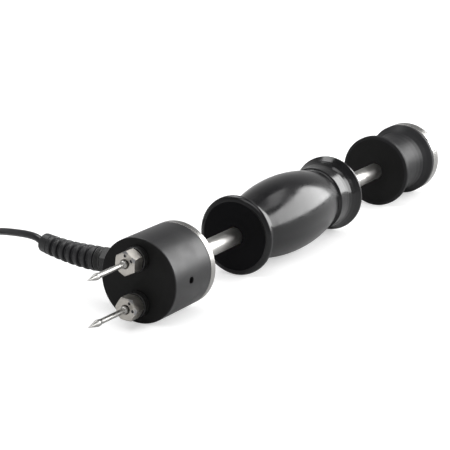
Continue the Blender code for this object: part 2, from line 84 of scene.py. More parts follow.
def makeCamera():
    data = bpy.data.cameras.new("camera")
    data.lens = camera["lens"]
    data.sensor_width = camera["sensor"]
    data.clip_start, data.clip_end = camera["clip"]
    obj = bpy.data.objects.new("camera", data)
    scene.collection.objects.link(obj)
    forward = Vector(camera["forward"]).normalized()
    right = forward.cross(Vector((0, 0, 1))).normalized()
    up = right.cross(forward)
    turn = Matrix((right, up, -forward)).transposed().to_4x4()
    obj.matrix_world = Matrix.Translation(Vector(camera["place"]) * mm) @ turn
    scene.camera = obj


def makeFloor():
    half, low = studio["floorHalf"] * mm, (floorHeight - studio["floorDrop"]) * mm
    corners = [(-half, -half, low), (half, -half, low), (half, half, low), (-half, half, low)]
    mesh = bpy.data.meshes.new("floor")
    mesh.from_pydata(corners, [], [(0, 1, 2, 3)])
    floor = bpy.data.objects.new("floor", mesh)
    scene.collection.objects.link(floor)
    mat = bpy.data.materials.new("paleFloor")
    mat.use_nodes = True
    shader = mat.node_tree.nodes["Principled BSDF"]
    shader.inputs["Base Color"].default_value = (*[studio["floorTone"]] * 3, 1)
    shader.inputs["Roughness"].default_value = studio["floorRough"]
    shader.inputs["Specular IOR Level"].default_value = studio["floorShine"]
    shader.inputs["Emission Color"].default_value = (1, 1, 1, 1)
    tree = mat.node_tree
    glow = tree.nodes.new("ShaderNodeMath")  # keeps the backdrop pale without lighting the object
    glow.operation = "MULTIPLY"
    glow.inputs[1].default_value = studio["floorGlow"]
    tree.links.new(tree.nodes.new("ShaderNodeLightPath").outputs["Is Camera Ray"], glow.inputs[0])
    tree.links.new(glow.outputs[0], shader.inputs["Emission Strength"])
    mesh.materials.append(mat)


def makeLights():
    world = bpy.data.worlds.new("studio")
    world.use_nodes = True
    tree = world.node_tree
    split = tree.nodes.new("ShaderNodeSeparateXYZ")
    tree.links.new(tree.nodes.new("ShaderNodeTexCoord").outputs["Generated"], split.inputs[0])
    ramp = tree.nodes.new("ShaderNodeMapRange")
    ramp.inputs["From Min"].default_value = studio["skyFade"][0]
    ramp.inputs["From Max"].default_value = studio["skyFade"][1]
    ramp.inputs["To Min"].default_value = studio["skyLow"]
    ramp.inputs["To Max"].default_value = studio["skyHigh"]
    tree.links.new(split.outputs["Z"], ramp.inputs["Value"])
    tree.links.new(ramp.outputs["Result"], tree.nodes["Background"].inputs["Color"])
    scene.world = world
    for name, (centre, aim, width, height, watts) in studio["boxes"].items():
        data = bpy.data.lights.new(name, "AREA")
        data.shape = "RECTANGLE"
        data.size, data.size_y = width * mm, height * mm
        data.energy = watts
        light = bpy.data.objects.new(name, data)
        scene.collection.objects.link(light)
        light.location = Vector(centre) * mm
        light.rotation_euler = (Vector(aim) - Vector(centre)).to_track_quat("-Z", "Y").to_euler()
        light.visible_camera = False
    scene.view_settings.view_transform = "Standard"


makeCamera()
makeFloor()
makeLights()
print("stage ready")


# effects shared by the finishes

marks = {
    "latheTone": 240.0, "grainTone": 110.0,       # patches of tone per metre
    "smudgeRange": (0.40, 0.68),
    "hairTurn": (0.5, 0.3, 0.7), "hairScale": (70.0, 2600.0, 2600.0), "hairRange": (0.68, 0.76),
    "speckScale": 1300.0, "speckRange": (0.60, 0.74), "speckSlope": (0.1, 1.0),
}
perMetre = 1 / mm


def newGroup(name, inputs, outputs):
    group = bpy.data.node_groups.new(name, "ShaderNodeTree")
    for label, value in inputs:
        socket = group.interface.new_socket(name=label, in_out="INPUT", socket_type="NodeSocketFloat")
        socket.default_value = value
    for label in outputs:
        group.interface.new_socket(name=label, in_out="OUTPUT", socket_type="NodeSocketFloat")
    return group, group.nodes.new("NodeGroupInput"), group.nodes.new("NodeGroupOutput")


def feed(tree, socket, value):
    if isinstance(value, (int, float, tuple)):
        socket.default_value = value
    else:
        tree.links.new(value, socket)


def addMath(tree, operation, a, b=0.0, clamp=False):
    node = tree.nodes.new("ShaderNodeMath")
    node.operation = operation
    node.use_clamp = clamp
    feed(tree, node.inputs[0], a)
    feed(tree, node.inputs[1], b)
    return node.outputs[0]


def addNoise(tree, vector, scale, detail=3.0, rough=0.5):
    node = tree.nodes.new("ShaderNodeTexNoise")
    node.inputs["Detail"].default_value = detail
    node.inputs["Roughness"].default_value = rough
    tree.links.new(vector, node.inputs["Vector"])
    feed(tree, node.inputs["Scale"], scale)
    return node.outputs["Fac"]


def addRange(tree, value, low, high, toLow=0.0, toHigh=1.0):
    node = tree.nodes.new("ShaderNodeMapRange")
    node.interpolation_type = "SMOOTHSTEP"
    tree.links.new(value, node.inputs["Value"])
    for label, number in (("From Min", low), ("From Max", high), ("To Min", toLow), ("To Max", toHigh)):
        feed(tree, node.inputs[label], number)
    return node.outputs["Result"]


def addPlace(tree):
    return tree.nodes.new("ShaderNodeTexCoord").outputs["Object"]


def latheGroup():  # rings that a cutting tool leaves round the long axis
    tree, inputs, outputs = newGroup("latheMarks", [("Marks per mm", 4.0)], ["Height", "Tone"])
    split = tree.nodes.new("ShaderNodeSeparateXYZ")
    tree.links.new(addPlace(tree), split.inputs[0])
    yy = addMath(tree, "MULTIPLY", split.outputs["Y"], split.outputs["Y"])
    zz = addMath(tree, "MULTIPLY", split.outputs["Z"], split.outputs["Z"])
    across = addMath(tree, "SQRT", addMath(tree, "ADD", yy, zz))
    rings = tree.nodes.new("ShaderNodeCombineXYZ")
    tree.links.new(split.outputs["X"], rings.inputs["X"])
    tree.links.new(across, rings.inputs["Y"])
    scale = addMath(tree, "MULTIPLY", inputs.outputs["Marks per mm"], perMetre)
    tree.links.new(addNoise(tree, rings.outputs[0], scale, 2.0, 0.6), outputs.inputs["Height"])
    tree.links.new(addNoise(tree, rings.outputs[0], marks["latheTone"], 2.0, 0.6), outputs.inputs["Tone"])
    return tree


def grainGroup():  # fine moulded, cast or blasted texture
    tree, inputs, outputs = newGroup("fineGrain", [("Marks per mm", 3.0)], ["Height", "Tone"])
    place = addPlace(tree)
    scale = addMath(tree, "MULTIPLY", inputs.outputs["Marks per mm"], perMetre)
    tree.links.new(addNoise(tree, place, scale, 3.0, 0.6), outputs.inputs["Height"])
    tree.links.new(addNoise(tree, place, marks["grainTone"], 3.0, 0.55), outputs.inputs["Tone"])
    return tree


def handlingGroup():  # finger smudges, hairline scratches and settled dust
    tree, inputs, outputs = newGroup(
        "handlingWear", [("Smudge Size", 60.0), ("Scratches", 0.5)], ["Smudge", "Scratch", "Dust"])
    place = addPlace(tree)
    smudge = addNoise(tree, place, inputs.outputs["Smudge Size"], 4.0, 0.6)
    tree.links.new(addRange(tree, smudge, *marks["smudgeRange"]), outputs.inputs["Smudge"])
    stretch = tree.nodes.new("ShaderNodeMapping")
    stretch.inputs["Rotation"].default_value = marks["hairTurn"]
    stretch.inputs["Scale"].default_value = marks["hairScale"]
    tree.links.new(place, stretch.inputs["Vector"])
    hair = addRange(tree, addNoise(tree, stretch.outputs["Vector"], 1.0, 2.0, 0.5), *marks["hairRange"])
    scratch = addMath(tree, "MULTIPLY", hair, inputs.outputs["Scratches"])
    tree.links.new(scratch, outputs.inputs["Scratch"])
    facing = tree.nodes.new("ShaderNodeSeparateXYZ")
    tree.links.new(tree.nodes.new("ShaderNodeNewGeometry").outputs["Normal"], facing.inputs[0])
    upward = addRange(tree, facing.outputs["Z"], *marks["speckSlope"])
    specks = addRange(tree, addNoise(tree, place, marks["speckScale"], 2.0, 0.5), *marks["speckRange"])
    tree.links.new(addMath(tree, "MULTIPLY", specks, upward), outputs.inputs["Dust"])
    return tree


groups = {"lathe": latheGroup(), "grain": grainGroup(), "handling": handlingGroup()}


# finishes

# slot in the record, darkest and lightest tone, roughness from clean to smudged,
# surface pattern and its marks per mm, bump strength, dust, strength of the reflection
finishes = {
    "anodisedSide": {
        "slot": "satin_black", "tones": ((0.012, 0.012, 0.013), (0.018, 0.018, 0.019)),
        "rough": (0.36, 0.44), "pattern": ("lathe", 3.2), "bump": 0.05, "dust": 0.04,
        "specular": 0.34},
    # painted shade: a darker, less shiny copy of the anodised finish that dims the end stop
    "shadedStopSide": {
        "slot": "satin_black", "tones": ((0.010, 0.010, 0.011), (0.016, 0.016, 0.017)),
        "rough": (0.44, 0.52), "pattern": ("lathe", 3.2), "bump": 0.05, "dust": 0.04,
        "specular": 0.18},
    # painted shade: a darker, duller copy of the anodised finish for the flat front faces that face the
    # camera
    "shadedAnodisedFace": {
        "slot": "satin_black", "tones": ((0.007, 0.007, 0.007), (0.010, 0.010, 0.010)),
        "rough": (0.50, 0.62), "pattern": ("lathe", 2.6), "bump": 0.05, "dust": 0.03,
        "specular": 0.15},
    "glossPaint": {
        "slot": "gloss_black", "tones": ((0.004, 0.004, 0.0045), (0.007, 0.007, 0.008)),
        "rough": (0.17, 0.23), "pattern": ("grain", 0.30), "bump": 0.02, "dust": 0.03,
        "specular": 0.38},
    # painted shade: a darker, duller copy of the gloss paint for the grip's flat end faces and the cap
    "shadedBlackPaint": {
        "slot": "gloss_black", "tones": ((0.004, 0.004, 0.0045), (0.006, 0.006, 0.007)),
        "rough": (0.46, 0.56), "pattern": ("lathe", 2.4), "bump": 0.04, "dust": 0.02,
        "specular": 0.06},
    "mattNylon": {
        "slot": "matt_black", "tones": ((0.009, 0.009, 0.009), (0.014, 0.014, 0.014)),
        "rough": (0.36, 0.48), "pattern": ("grain", 2.4), "bump": 0.12, "dust": 0.04,
        "specular": 0.5},
    "reliefRubber": {
        "slot": "black_rubber", "tones": ((0.010, 0.010, 0.011), (0.016, 0.016, 0.018)),
        "rough": (0.36, 0.48), "pattern": ("grain", 2.0), "bump": 0.10, "dust": 0.05,
        "specular": 0.45},
    "cableSheath": {
        "slot": "cable_black", "tones": ((0.011, 0.011, 0.012), (0.018, 0.018, 0.020)),
        "rough": (0.28, 0.40), "pattern": ("grain", 1.6), "bump": 0.06, "dust": 0.05,
        "specular": 0.3},
    "polishedRod": {
        "slot": "ground_steel", "metal": 1.0, "tones": ((0.56, 0.55, 0.53), (0.66, 0.65, 0.63)),
        "rough": (0.34, 0.42), "pattern": ("lathe", 5.0), "bump": 0.04},
    "turnedSteel": {
        "slot": "turned_steel", "metal": 1.0, "tones": ((0.29, 0.285, 0.275), (0.38, 0.375, 0.365)),
        "rough": (0.26, 0.36), "pattern": ("lathe", 3.0), "bump": 0.10},
    "nutSteel": {
        "slot": "nut_steel", "metal": 1.0, "tones": ((0.50, 0.475, 0.435), (0.64, 0.615, 0.575)),
        "rough": (0.30, 0.42), "pattern": ("grain", 2.6), "bump": 0.10},
    "needleSteel": {
        "slot": "needle_steel", "metal": 1.0, "tones": ((0.34, 0.335, 0.325), (0.46, 0.455, 0.44)),
        "rough": (0.34, 0.44), "pattern": ("grain", 3.0), "bump": 0.06},
    "plainSteel": {
        "slot": "weight_steel", "metal": 1.0, "tones": ((0.24, 0.24, 0.25), (0.36, 0.36, 0.37)),
        "rough": (0.38, 0.50), "pattern": ("lathe", 2.0), "bump": 0.10},
    "screwSteel": {
        "slot": "screw_steel", "metal": 1.0, "tones": ((0.26, 0.26, 0.27), (0.38, 0.38, 0.39)),
        "rough": (0.28, 0.40), "pattern": ("grain", 2.0), "bump": 0.06},
    "dullBrass": {
        "slot": "brass", "metal": 1.0, "tones": ((0.58, 0.41, 0.16), (0.74, 0.55, 0.24)),
        "rough": (0.26, 0.40), "pattern": ("lathe", 3.0), "bump": 0.06},
    "nickelPlate": {
        "slot": "plug_nickel", "metal": 1.0, "tones": ((0.58, 0.56, 0.52), (0.68, 0.67, 0.63)),
        "rough": (0.16, 0.26), "pattern": ("grain", 1.5), "bump": 0.03},
    "whitePlastic": {
        "slot": "white_insulator", "tones": ((0.68, 0.68, 0.64), (0.78, 0.78, 0.75)),
        "rough": (0.36, 0.48), "pattern": ("grain", 2.0), "bump": 0.04},
    "redWire": {
        "slot": "red_lead", "tones": ((0.30, 0.02, 0.015), (0.42, 0.035, 0.025)),
        "rough": (0.36, 0.46), "pattern": ("grain", 1.5), "bump": 0.04},
    "blueWire": {
        "slot": "blue_lead", "tones": ((0.02, 0.045, 0.24), (0.035, 0.07, 0.34)),
        "rough": (0.36, 0.46), "pattern": ("grain", 1.5), "bump": 0.04},
}


wearLook = {
    "metalScratches": 0.8, "plainScratches": 0.4, "scratchRough": 0.15,
    "dustTone": (0.42, 0.41, 0.39), "bumpDepth": 0.2,  # mm
}


def mixTone(tree, factor, first, second):
    node = tree.nodes.new("ShaderNodeMix")
    node.data_type = "RGBA"
    tree.links.new(factor, node.inputs["Factor"])
    colours = [socket for socket in node.inputs if socket.type == "RGBA"]
    for socket, colour in zip(colours, (first, second)):
        feed(tree, socket, (*colour, 1.0) if isinstance(colour, tuple) else colour)
    return next(socket for socket in node.outputs if socket.type == "RGBA")


def addGroup(tree, group):
    node = tree.nodes.new("ShaderNodeGroup")
    node.node_tree = groups[group]
    return node


def makeFinish(name, look):
    mat = bpy.data.materials.new(name)
    mat.use_nodes = True
    tree = mat.node_tree
    shader = tree.nodes["Principled BSDF"]
    kind, density = look["pattern"]
    pattern = addGroup(tree, kind)
    pattern.inputs["Marks per mm"].default_value = density
    wear = addGroup(tree, "handling")
    scratches = "metalScratches" if "metal" in look else "plainScratches"
    wear.inputs["Scratches"].default_value = wearLook[scratches]

    dark, light = look["tones"]
    colour = mixTone(tree, pattern.outputs["Tone"], dark, light)
    if "dust" in look:
        amount = addMath(tree, "MULTIPLY", wear.outputs["Dust"], look["dust"])
        colour = mixTone(tree, amount, colour, wearLook["dustTone"])
    tree.links.new(colour, shader.inputs["Base Color"])

    clean, smudged = look["rough"]
    rough = addRange(tree, wear.outputs["Smudge"], 0.0, 1.0, clean, smudged)
    scratch = addMath(tree, "MULTIPLY", wear.outputs["Scratch"], wearLook["scratchRough"])
    tree.links.new(addMath(tree, "ADD", rough, scratch, True), shader.inputs["Roughness"])

    bump = tree.nodes.new("ShaderNodeBump")
    bump.inputs["Strength"].default_value = look["bump"]
    bump.inputs["Distance"].default_value = wearLook["bumpDepth"] * mm
    tree.links.new(pattern.outputs["Height"], bump.inputs["Height"])
    tree.links.new(bump.outputs["Normal"], shader.inputs["Normal"])
    shader.inputs["Metallic"].default_value = look.get("metal", 0.0)
    shader.inputs["Specular IOR Level"].default_value = look.get("specular", 0.5)
    return mat


materials = {name: makeFinish(name, look) for name, look in finishes.items()}
print("finishes ready:", len(materials))


# shaping

gap = 0.3               # clearance between pieces that touch, mm
cutterTurn = 0.03       # turns a cutter so that its edges miss the edges that it crosses
overshoot = 4.0         # how far a drill goes on past the surface
samePlace = 1e-4        # points closer than this are one point, mm
hexSides = 72
hexLand = 0.47          # radius of a hexagon's flat land, as a share of its width across flats

def softOutline(points, steps=4):  # (station, radius, fillet): corners with a fillet become arcs
    flat = [Vector(point[:2]) for point in points]
    result = []
    for i, point in enumerate(points):
        here = flat[i]
        if len(point) < 3 or i in (0, len(points) - 1):
            result.append(here)
            continue
        back, ahead = flat[i - 1] - here, flat[i + 1] - here
        reach = point[2] / math.tan(back.angle(ahead) / 2)
        reach = min(reach, 0.48 * back.length, 0.48 * ahead.length)
        start, end = here + back.normalized() * reach, here + ahead.normalized() * reach
        for k in range(steps + 1):
            t = k / steps
            result.append(start * (1 - t) ** 2 + here * 2 * t * (1 - t) + end * t ** 2)
    return [(p.x, p.y) for p in result]


def smoothCurve(points, per):  # Catmull-Rom curve through the points
    pts = [Vector(p) for p in points]
    pts = [2 * pts[0] - pts[1]] + pts + [2 * pts[-1] - pts[-2]]
    result = []
    for a, b, c, d in zip(pts, pts[1:], pts[2:], pts[3:]):
        for i in range(per):
            t = i / per
            result.append(0.5 * (2 * b + (c - a) * t + (2 * a - 5 * b + 4 * c - d) * t ** 2
                                 + (3 * b - a - 3 * c + d) * t ** 3))
    return result + [pts[-2]]


def axisAt(origin=(0, 0, 0), direction=(1, 0, 0), twist=0.0):  # puts local X along direction
    along = Vector(direction).normalized()
    side = Vector((0, 0, 1)).cross(along).normalized()
    turn = Matrix((along, side, along.cross(side))).transposed().to_4x4()
    return Matrix.Translation(Vector(origin)) @ turn @ Matrix.Rotation(twist, 4, "X")


def joinLoops(bm, loops):  # quads between neighbouring loops, triangles at a point on the axis
    for a, b in zip(loops, loops[1:]):
        for i in range(len(a)):
            j = (i + 1) % len(a)
            bm.faces.new(list(dict.fromkeys((a[i], a[j], b[j], b[i]))))


def spun(outline, sides=96):  # outline turned round local X
    bm = bmesh.new()
    loops, before = [], None
    for point in outline:
        if before and math.dist(point, before) < samePlace:
            continue
        before = x, r = point
        angles = [2 * math.pi * i / sides for i in range(sides if r else 1)]
        loop = [bm.verts.new((x, r * math.sin(angle), r * math.cos(angle))) for angle in angles]
        loops.append(loop if r else loop * sides)
    if outline[0][1] or outline[-1][1]:
        loops.append(loops[0])
    joinLoops(bm, loops)
    return bm


def lofted(rings, sides):  # rings are functions of the angle that give (station, radius)
    bm = bmesh.new()
    loops = []
    for ring in rings:
        loop = []
        for i in range(sides):
            angle = 2 * math.pi * i / sides
            x, r = ring(angle)
            loop.append(bm.verts.new((x, r * math.sin(angle), r * math.cos(angle))))
        loops.append(loop)
    joinLoops(bm, loops + loops[:1])
    return bm


def plainRing(x, r):
    return lambda angle: (x, r)


def ridgedRing(x, r, depth, count):  # count ridges round the ring, such as a knurl
    return lambda angle: (x, r - depth * (0.5 - 0.5 * math.cos(count * angle)))


def boxShape(low, high):
    bm = bmesh.new()
    bmesh.ops.create_cube(bm, size=1.0)
    for vert in bm.verts:
        vert.co = Vector(b if c > 0 else a for a, b, c in zip(low, high, vert.co))
    return bm


def makeSolid(name, bm, place=None):  # bmesh in mm, put at its place, as an object in metres
    bmesh.ops.transform(bm, matrix=Matrix.Scale(mm, 4) @ (place or axisAt()), verts=bm.verts)
    bmesh.ops.recalc_face_normals(bm, faces=bm.faces)
    mesh = bpy.data.meshes.new(name)
    bm.to_mesh(mesh)
    bm.free()
    obj = bpy.data.objects.new(name, mesh)
    scene.collection.objects.link(obj)
    return obj


def cutPiece(obj, tools):  # tools are (bmesh in mm, place)
    joined = bmesh.new()
    for bm, place in tools:
        part = makeSolid("toolPart", bm, place)
        joined.from_mesh(part.data)
        bpy.data.objects.remove(part)
    tool = makeSolid("tool", joined, Matrix.Scale(1 / mm, 4))
    modifier = obj.modifiers.new("cut", "BOOLEAN")
    modifier.operation = "DIFFERENCE"
    modifier.object = tool
    shown = obj.evaluated_get(bpy.context.evaluated_depsgraph_get())
    obj.data = bpy.data.meshes.new_from_object(shown)
    obj.modifiers.remove(modifier)
    bpy.data.objects.remove(tool)


def dress(obj, finish, body, *stands, bevel=0.0, sharp=32.0):
    mesh = obj.data
    mesh.materials.clear()
    mesh.materials.append(materials[finish])
    mesh.shade_smooth()
    mesh.set_sharp_from_angle(angle=math.radians(sharp))
    if bevel:
        edge = obj.modifiers.new("softEdge", "BEVEL")
        edge.width = bevel * mm
        edge.segments = 2
        edge.limit_method = "ANGLE"
        edge.angle_limit = math.radians(sharp)
    normals = obj.modifiers.new("evenNormals", "WEIGHTED_NORMAL")
    normals.keep_sharp = True
    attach(obj, body)
    if stands:
        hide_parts(*stands)
    return obj


def paintFaces(obj, finish, wanted):  # second finish on the faces that the test picks
    obj.data.materials.append(materials[finish])
    for face in obj.data.polygons:
        if wanted(face):
            face.material_index = 1


def makeTurned(name, outline, finish, body, *stands, place=None, sides=96, cuts=(), **more):
    obj = makeSolid(name, spun(softOutline(outline), sides), place)
    if cuts:
        cutPiece(obj, cuts)
    return dress(obj, finish, body, *stands, **more)


def drill(radius, start, end, place, lip=0.0, sides=40):  # hole with a chamfered lip at its end
    outline = [(start, 0), (start, radius)]
    if lip:
        outline += [(end - lip, radius), (end + lip, radius + 2 * lip)]
    outline += [(end + overshoot, outline[-1][1]), (end + overshoot, 0)]
    return spun(outline, sides), place @ Matrix.Rotation(cutterTurn, 4, "X")


def hexReach(flats, angle):
    sector = (angle + math.pi / 6) % (math.pi / 3) - math.pi / 6
    return flats / 2 / math.cos(math.pi / 6 - abs(sector))


def makeHex(name, flats, start, end, bore, finish, body, *stands, place=None, cuts=(),
            front=(), behind=(), bevel=0.18, rise=0.55):
    land = hexLand * flats

    def depth(angle):
        return rise * (hexReach(flats, angle) - land) + 0.05

    rings = [plainRing(*p) for p in front] + [
        plainRing(start, land),
        lambda a: (start + depth(a), hexReach(flats, a)),
        lambda a: (end - depth(a), hexReach(flats, a)),
        plainRing(end, land),
    ] + [plainRing(*p) for p in list(behind) + list(bore)]
    obj = makeSolid(name, lofted(rings, hexSides), place)
    if cuts:
        cutPiece(obj, cuts)
    return dress(obj, finish, body, *stands, bevel=bevel)


# cable, coil and their tie

relief = {
    "station": 26.7, "base": 48.3, "bend": 190.0, "tilt": math.radians(30.0), "length": 46.7,
    "plug": 7.0, "plugHead": 6.1, "plugNeck": 5.0, "thick": 8.4, "thin": 6.4,
    "grooves": 6, "firstGroove": 4.5, "groovePitch": 6.05, "grooveHalf": 1.5, "floorHalf": 1.1,
    "grooveDepth": 1.9, "ringStart": 7.6,
}


def reliefPoint(distance, lateral=0.0, rise=0.0):  # on the bent centre line, or beside it
    angle = distance / relief["bend"]
    swing = Vector((math.cos(relief["tilt"]), 0, math.sin(relief["tilt"])))
    out = Vector((0, 1, 0))
    centre = (Vector((relief["station"], relief["base"], 0)) + out * relief["bend"] * math.sin(angle)
              + swing * relief["bend"] * (1 - math.cos(angle)))
    across = swing * math.cos(angle) - out * math.sin(angle)
    return centre + across * lateral + out.cross(swing) * rise


cable = {
    "radius": 2.5, "length": 1.13, "straight": 4.0, "pointsPerStep": 8,
    "route": [
        (34.0, 103.4, 4.4), (36.6, 111.4, 4.3), (39.6, 120.8, 3.3), (43.4, 131.8, 1.6),
        (48.2, 143.8, -0.8), (53.6, 154.6, -4.0), (59.2, 164.6, -8.0), (64.6, 174.2, -12.6),
        (69.6, 183.4, -17.0), (74.0, 192.0, -20.7), (77.5, 199.4, -22.9),
        (80.6, 207.5, -24.0), (82.6, 214.4, -24.2)],
    "coilCentre": (52.0, 228.0), "innerTurn": 22.5, "pitch": 5.2,
    "lowTurn": -24.2, "highTurn": -19.0,
    "enterAngle": -15.0, "leaveAngle": 180.0, "turns": 5, "pointsPerTurn": 72,
    "inwardSteps": [(0.85, 1.0), (1.85, 2.0)], "liftStep": (2.7, 2.85),  # counted in turns
    "outwardSteps": [(3.55, 3.7), (4.55, 4.7)],
    "tail": [(19.1, 219.0, -19.2), (19.1, 211.0, -20.0), (19.1, 203.3, -20.2)],
}


def ease(t, start, end):  # 0 before start, 1 after end, and a soft step between
    s = min(max((t - start) / (end - start), 0), 1)
    return (1 - math.cos(math.pi * s)) / 2


def coilPoint(t):  # t counts turns: three wind inwards below, then the rest outwards on top
    inward = sum(ease(t, *step) for step in cable["inwardSteps"])
    outward = sum(ease(t, *step) for step in cable["outwardSteps"])
    column = 2 - inward + outward
    layer = ease(t, *cable["liftStep"])
    radius = cable["innerTurn"] + column * cable["pitch"]
    angle = math.radians(cable["enterAngle"]) + 2 * math.pi * t
    x, y = cable["coilCentre"]
    return Vector((x + radius * math.cos(angle), y + radius * math.sin(angle),
                   cable["lowTurn"] + layer * (cable["highTurn"] - cable["lowTurn"])))


def makeCable():
    total = cable["turns"] + (cable["leaveAngle"] - cable["enterAngle"]) / 360
    steps = round(total * cable["pointsPerTurn"])
    coil = [coilPoint(total * k / steps) for k in range(steps + 1)]
    start = [reliefPoint(relief["length"] + gap), reliefPoint(relief["length"] + cable["straight"])]
    per = cable["pointsPerStep"]
    lead = smoothCurve(start + cable["route"] + [coil[0], coil[3]], per)[:-per]
    tail = smoothCurve([coil[-4], coil[-1]] + cable["tail"], per)[per:]
    points = lead[:-1] + coil[:-1] + tail
    curve = bpy.data.curves.new("cableLead", "CURVE")
    curve.dimensions = "3D"
    curve.bevel_depth = cable["radius"] * mm
    curve.bevel_resolution = 6
    curve.use_fill_caps = True
    spline = curve.splines.new("POLY")
    spline.points.add(len(points) - 1)
    for point, position in zip(spline.points, points):
        point.co = (*(position * mm), 1.0)
    curve.materials.append(materials["cableSheath"])
    obj = bpy.data.objects.new("cableLead", curve)
    scene.collection.objects.link(obj)
    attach(obj, "root")
    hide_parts("cable", "cable_coil", "cable_tail")
    return obj


tie = {"angle": math.radians(80.0), "width": 7.0, "thick": 0.7, "corner": 2.6, "cornerSteps": 6,
       "room": 1.1, "rim": 0.4}


def makeTie():
    low, high = span("coil_tie")
    room = cable["radius"] + tie["room"]
    outerTurn = cable["innerTurn"] + 2 * cable["pitch"]
    loops = []
    for inset in (0.0, tie["thick"]):
        a, b = cable["innerTurn"] - room + inset, outerTurn + room - inset
        c, d = low.z + inset, high.z - inset
        corner = tie["corner"] - inset
        loop = []
        for k in range(4):
            cx = b - corner if k in (0, 3) else a + corner
            cz = d - corner if k in (0, 1) else c + corner
            for i in range(tie["cornerSteps"] + 1):
                turn = math.pi / 2 * (k + i / tie["cornerSteps"])
                loop.append((cx + corner * math.cos(turn), cz + corner * math.sin(turn)))
        loops.append(loop)
    half = tie["width"] / 2
    across = [-half, -half + tie["rim"], 0.0, half - tie["rim"], half]
    bm = bmesh.new()
    grid = []
    for loop, order in ((loops[0], across), (loops[1], across[::-1])):
        grid += [[bm.verts.new((x, y, z)) for x, z in loop] for y in order]
    joinLoops(bm, grid + grid[:1])
    place = Matrix.Translation((*cable["coilCentre"], 0)) @ Matrix.Rotation(tie["angle"], 4, "Z")
    obj = makeSolid("coilTie", bm, place)
    return dress(obj, "mattNylon", "root", "coil_tie", bevel=0.15)


# plug on the cable's end

plug = {"ribs": 4, "firstRib": 2.2, "ribPitch": 2.4, "ribGrowth": 0.3, "ridges": 30,
        "ridgeDepth": 0.28, "eyeRadius": 1.15, "eyeStation": 31.6, "eyeTurn": 0.2}


def makePlug():
    low, high = span("plug_body")
    centre = ((low.x + high.x) / 2, span("plug_boot")[1].y, (low.z + high.z) / 2)
    place = axisAt(centre, (0, -1, 0))
    boot = [(0, 0), (0, 3.4, 0.5)]
    for k in range(plug["ribs"]):
        x = plug["firstRib"] + plug["ribPitch"] * k
        grown = plug["ribGrowth"] * k
        boot += [(x, 3.6 + grown, 0.2), (x + 0.4, 3.1 + grown, 0.15), (x + 1.1, 3.15 + grown, 0.15),
                 (x + 1.5, 3.8 + grown, 0.2)]
    boot += [(12.6, 5.0, 0.3), (13.0, 5.1, 0.2), (13.0, 0)]
    pieces = [makeTurned("plugBoot", boot, "reliefRubber", "root", "plug_boot", place=place, sides=64)]
    pieces.append(makeTurned("plugBody", [
        (13.3, 0), (13.3, 5.4, 0.3), (13.9, 6.0, 0.3), (16.2, 6.0, 0.15), (16.4, 5.7, 0.1), (17.0, 5.7, 0.1),
        (17.2, 6.0, 0.15), (20.0, 6.0, 0.3), (20.6, 5.4, 0.2), (20.6, 4.9), (36.0, 4.9, 0.15),
        (36.0, 4.4, 0.15), (27.0, 4.4), (27.0, 0)],
        "nickelPlate", "root", "plug_body", place=place, sides=72))

    ridges = plug["ridgeDepth"], plug["ridges"]
    rings = [plainRing(20.9, 5.2), plainRing(20.9, 6.6), plainRing(21.2, 6.9), plainRing(21.8, 7.2),
             ridgedRing(22.2, 7.2, *ridges), ridgedRing(27.6, 7.2, *ridges), plainRing(28.0, 7.2),
             plainRing(28.5, 7.2),
             plainRing(28.8, 6.8), plainRing(34.6, 6.8), plainRing(34.9, 7.2), plainRing(35.6, 7.2),
             plainRing(36.0, 6.8), plainRing(36.0, 5.2)]
    ring = makeSolid("plugRing", lofted(rings, 8 * plug["ridges"]), place)
    through = (Matrix.Translation((plug["eyeStation"], 0, 0)) @ Matrix.Rotation(math.pi / 2, 4, "Y")
               @ Matrix.Rotation(plug["eyeTurn"], 4, "Z"))
    cutPiece(ring, [drill(plug["eyeRadius"], -9, 9, place @ through)])
    pieces.append(dress(ring, "nickelPlate", "bayonet_ring", "plug_ring"))
    pieces.append(makeTurned("plugInsulator", [
        (27.3, 0.9), (27.3, 2.9), (29.6, 2.9), (30.0, 2.6), (30.0, 1.2), (29.7, 0.9)],
        "whitePlastic", "root", "plug_insulator", place=place, sides=48))
    pieces.append(makeTurned("plugContact", [
        (27.3, 0), (27.3, 0.6), (30.8, 0.6, 0.2), (31.2, 0.3, 0.1), (31.2, 0)],
        "dullBrass", "root", "plug_contact", place=place, sides=32))
    return pieces


lead = makeCable()
leadPieces = [makeTie()] + makePlug()
print("cable ready")


# head

head = {
    "edge": 0.9, "wall": 7.0, "faceWall": 9.0, "hub": 8.3, "bore": 6.3, "rodSeat": 15.0,
    "pinOffset": 14.5, "bushHole": 4.3, "setScrewStation": 17.8, "setScrewHole": 2.25,
    "screwCircle": 24.0, "screwHole": 1.8, "glandSeat": 25.6, "glandSeatRadius": 10.6,
    "glandHole": 6.5,
}


def screwSpots():
    angles = [math.radians(90 + 120 * k) for k in range(3)]
    return [(0, head["screwCircle"] * math.cos(a), head["screwCircle"] * math.sin(a)) for a in angles]


